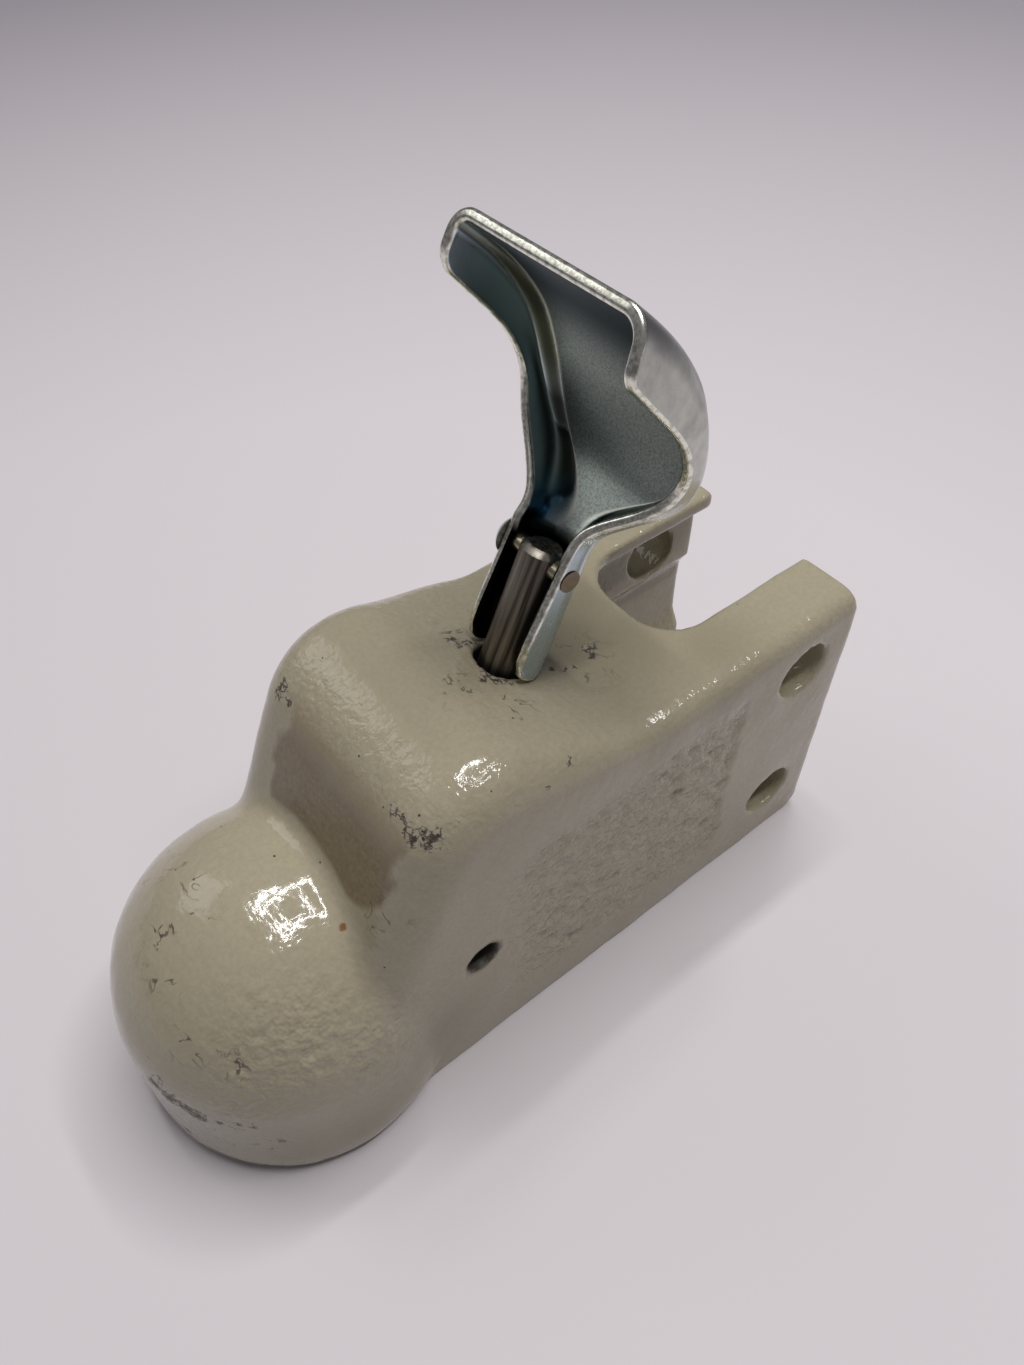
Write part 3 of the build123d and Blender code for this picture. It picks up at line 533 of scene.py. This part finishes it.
# Blue zinc plate: the scoop's inside, where the plate lies thinner, grey-teal and stippled dark. Painted light lies
# on
# it: painted highlights on the bend's ridges, painted shade in the groove, in a stripe beside it and on the upper
# web, a painted reflection that pales the corner at the scoop's end, and in the neck a blue that is partly the
# plate's and partly a painted reflection. Below the neck the ears' inner faces are black with grease, deepened by
# painted shade between the ears. The stipple is drawn coarser, to show.
hollow, add, shader, at = begun_finish("blue zinc plate in the scoop")
laid = {name: add("Attribute", attribute_name=name).outputs["Fac"]
        for name in ("flange", "height", "corner", "deep", "groove_shade", "ridge_highlights", "blue", "grease_and_shade")}
stipple = add("TexNoise", {"Vector": at, "Scale": 1 / (0.5 * mm), "Detail": 3.0, "Roughness": 0.7}).outputs["Fac"]
dots = add("MapRange", {"Value": stipple, "From Min": 0.3, "From Max": 0.6}).outputs[0]
in_web = add("Math", {0: laid["height"], 1: laid["flange"]}, operation="SUBTRACT").outputs[0]
upper_web_shade = add("MapRange", {"Value": in_web, "From Min": 0.2, "From Max": 0.9}).outputs[0]
tone = add("Mix", {0: dots, 6: paint("#8A948F"), 7: paint("#C6CFC8")}, data_type="RGBA").outputs[2]
# The ridges' cover is painted highlight, the groove's, the stripe's and the upper web's are painted shade, the
# corner's is painted reflection.
for cover, colour in (
    (laid["flange"], "#9DB2B4"), (upper_web_shade, "#3F4B54"), (laid["corner"], "#C6D2DE"), (laid["deep"], "#3A4643"),
    (laid["groove_shade"], "#4A4F47"), (laid["ridge_highlights"], "#E6E8DC"), (laid["blue"], "#3E7290"), (laid["grease_and_shade"], "#0D0C0B"),
):
    tone = add("Mix", {0: cover, 6: tone, 7: paint(colour)}, data_type="RGBA").outputs[2]
matt = add("MapRange", {"Value": laid["flange"], "From Max": 0.15, "To Min": 0.48, "To Max": 0.2}).outputs[0]
sand = add("Bump", {"Height": stipple, "Strength": 0.2, "Distance": 0.08 * mm}).outputs[0]
wire(shader, {"Base Color": tone, "Metallic": 1.0, "Roughness": matt, "Normal": sand})

# Sheared edge: torn steel under thin plate, so it glitters in small bright and dark grains, drawn coarser to show.
torn_edge, add, shader, at = begun_finish("sheared zinc-plated edge")
grit = add("TexNoise", {"Vector": at, "Scale": 1 / (0.9 * mm), "Detail": 3.0, "Roughness": 0.6}).outputs["Fac"]
flake = add("MapRange", {"Value": grit, "From Min": 0.38, "From Max": 0.6}).outputs[0]
tone = add("Mix", {0: flake, 6: paint("#B4B2A5"), 7: paint("#F2F2E4")}, data_type="RGBA").outputs[2]
rasp = add("Bump", {"Height": grit, "Strength": 0.2, "Distance": 0.18 * mm}).outputs[0]
wire(shader, {"Base Color": tone, "Metallic": 1.0, "Roughness": 0.3, "Normal": rasp})

# Rolled edge: the sheared edge's corners were tumbled round and smooth, and the plate on them shines between nicks.
# Inside the ears it is black with grease, deepened by painted shade.
inside_from, inside_to = ear_half - sheet / 2 + 0.2, ear_half - sheet / 2 - 0.4
rolled_edge, add, shader, at = begun_finish("tumbled zinc-plated edge")
nick = add("TexNoise", {"Vector": at, "Scale": 1 / (1.6 * mm), "Detail": 3.0, "Roughness": 0.6}).outputs["Fac"]
nicked = add("MapRange", {"Value": nick, "From Min": 0.38, "From Max": 0.55}).outputs[0]
across = add("SeparateXYZ", {0: at}).outputs["Y"]
across = add("Math", {0: across}, operation="ABSOLUTE").outputs[0]
inside = add("MapRange", {"Value": across, "From Min": inside_from * mm, "From Max": inside_to * mm}).outputs[0]
grease_and_shade = add("Attribute", attribute_name="grease_and_shade").outputs["Fac"]
grease_and_shade_inside = add("Math", {0: grease_and_shade, 1: inside}, operation="MULTIPLY").outputs[0]
tone = add("Mix", {0: nicked, 6: paint("#BEBEB1"), 7: paint("#F4F4E8")}, data_type="RGBA").outputs[2]
tone = add("Mix", {0: grease_and_shade_inside, 6: tone, 7: paint("#0D0C0B")}, data_type="RGBA").outputs[2]
dent = add("Bump", {"Height": nick, "Strength": 0.16, "Distance": 0.3 * mm}).outputs[0]
wire(shader, {"Base Color": tone, "Metallic": 1.0, "Roughness": 0.24, "Normal": dent})
for finish in (zinc, hollow, torn_edge, rolled_edge):
    pressing.materials.append(finish)
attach(scoop, "handle")
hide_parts("handle")

# Rivet: a steel rivet with a domed head on the right ear and a peened tail on the left one, plated with the handle.
# The hammered tail has lost its plate and turned bronze brown in blotches, and the shank between is dull yellow.
# The colours change inside the thickness of the ears.
ends_from, ends_to = 8.0, 9.0
rivet, add, shader, at = begun_finish("plated rivet steel")
across = add("SeparateXYZ", {0: at}).outputs["Y"]
blotch = add("TexNoise", {"Vector": at, "Scale": 1 / (1.6 * mm), "Detail": 3.0}).outputs["Fac"]
brown = add("Mix", {0: blotch, 6: paint("#6A5C4B"), 7: paint("#8C8072")}, data_type="RGBA").outputs[2]
tone = paint("#B4AC92")
for side, colour in ((1, brown), (-1, paint("#C2C4BE"))):
    end = add("MapRange", {"Value": across, "From Min": side * ends_from * mm, "From Max": side * ends_to * mm})
    tone = add("Mix", {0: end.outputs[0], 6: tone, 7: colour}, data_type="RGBA").outputs[2]
wire(shader, {"Base Color": tone, "Metallic": 1.0, "Roughness": 0.27})
coat(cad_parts["handle_rivet"], rivet)

# Floor: a wide sheet of pale card that the coupling stands on. It is matt, and painted shade greys it a little far
# off.
# Its sizes are in metres.
floor_half, fade_from, fade_to = 4.0, 0.3, 1.0
floor_corners = floor_half * np.array([(-1, -1, 0), (1, -1, 0), (1, 1, 0), (-1, 1, 0)])
sheet_mesh = bpy.data.meshes.new("floor")
sheet_mesh.from_pydata(floor_corners.tolist(), [], [(0, 1, 2, 3)])
floor = bpy.data.objects.new("floor", sheet_mesh)
bpy.context.scene.collection.objects.link(floor)
card, add, shader, at = begun_finish("pale card")
away = add("VectorMath", {0: at}, operation="LENGTH").outputs["Value"]
shade_far_off = add("MapRange", {"Value": away, "From Min": fade_from, "From Max": fade_to}).outputs[0]
tone = add("Mix", {0: shade_far_off, 6: paint("#D3CDD0"), 7: paint("#A8A2A9")}, data_type="RGBA").outputs[2]
wire(shader, {"Base Color": tone, "Roughness": 0.8})
coat(floor, card)

# Light: a square ring of four strips overhead, a weak broad panel to the right, and a dim room round them.
# Sizes and places are in metres, and powers in watts.
room = bpy.data.worlds.new("room")
bpy.context.scene.world = room
room.use_nodes = True
wire(room.node_tree.nodes["Background"], {"Color": paint("#B9B7BC"), "Strength": 0.3})
ring, strip_width, ring_middle, ring_power = 0.74, 0.08, (-0.44, 0.04, 1.6), 24.6
for name, along_x, along_y, size_x, size_y in (
    ("ring front", ring / 2, 0.0, strip_width, ring + strip_width),
    ("ring rear", -ring / 2, 0.0, strip_width, ring + strip_width),
    ("ring left", 0.0, ring / 2, ring - strip_width, strip_width),
    ("ring right", 0.0, -ring / 2, ring - strip_width, strip_width),
):
    tube = bpy.data.lights.new(name, "AREA")
    tube.shape = "RECTANGLE"
    tube.size, tube.size_y = size_x, size_y
    tube.energy = ring_power / 4
    lamp = bpy.data.objects.new(name, tube)
    lamp.location = (ring_middle[0] + along_x, ring_middle[1] + along_y, ring_middle[2])
    bpy.context.scene.collection.objects.link(lamp)
softbox = bpy.data.lights.new("right panel", "AREA")
softbox.size = 0.7
softbox.energy = 2.3
lamp = bpy.data.objects.new("right panel", softbox)
lamp.location = (0.45, -1.08, 1.02)
lamp.rotation_euler = (np.radians(53), 0, np.radians(23))
bpy.context.scene.collection.objects.link(lamp)

# Camera: where the photograph's stood, with its turn, dip and slight roll, and its focal length in pixels.
# They were worked out from the casting's straight edges and bolt holes.
photo_height, focal_pixels, sensor_height = 1365, 1025.2, 36.0
camera_place = np.array([24.8, 136.14, 291.74])
turn, dip, roll = np.radians((232.629, 49.311, 1.085))
ahead = np.array([np.cos(turn) * np.cos(dip), np.sin(turn) * np.cos(dip), -np.sin(dip)])
right = np.array([np.sin(turn), -np.cos(turn), 0.0])
down = np.cross(ahead, right)
right, down = np.cos(roll) * right + np.sin(roll) * down, np.cos(roll) * down - np.sin(roll) * right
view = bpy.data.cameras.new("camera")
view.sensor_fit = "VERTICAL"
view.sensor_height = sensor_height
view.lens = sensor_height * focal_pixels / photo_height
view.clip_start = 0.01
camera = bpy.data.objects.new("camera", view)
pose = np.eye(4)
pose[:3, 0], pose[:3, 1], pose[:3, 2] = right, -down, -ahead
pose[:3, 3] = camera_place * mm
camera.matrix_world = pose.T.tolist()
bpy.context.scene.collection.objects.link(camera)
bpy.context.scene.camera = camera
bpy.context.scene.view_settings.view_transform = "Standard"
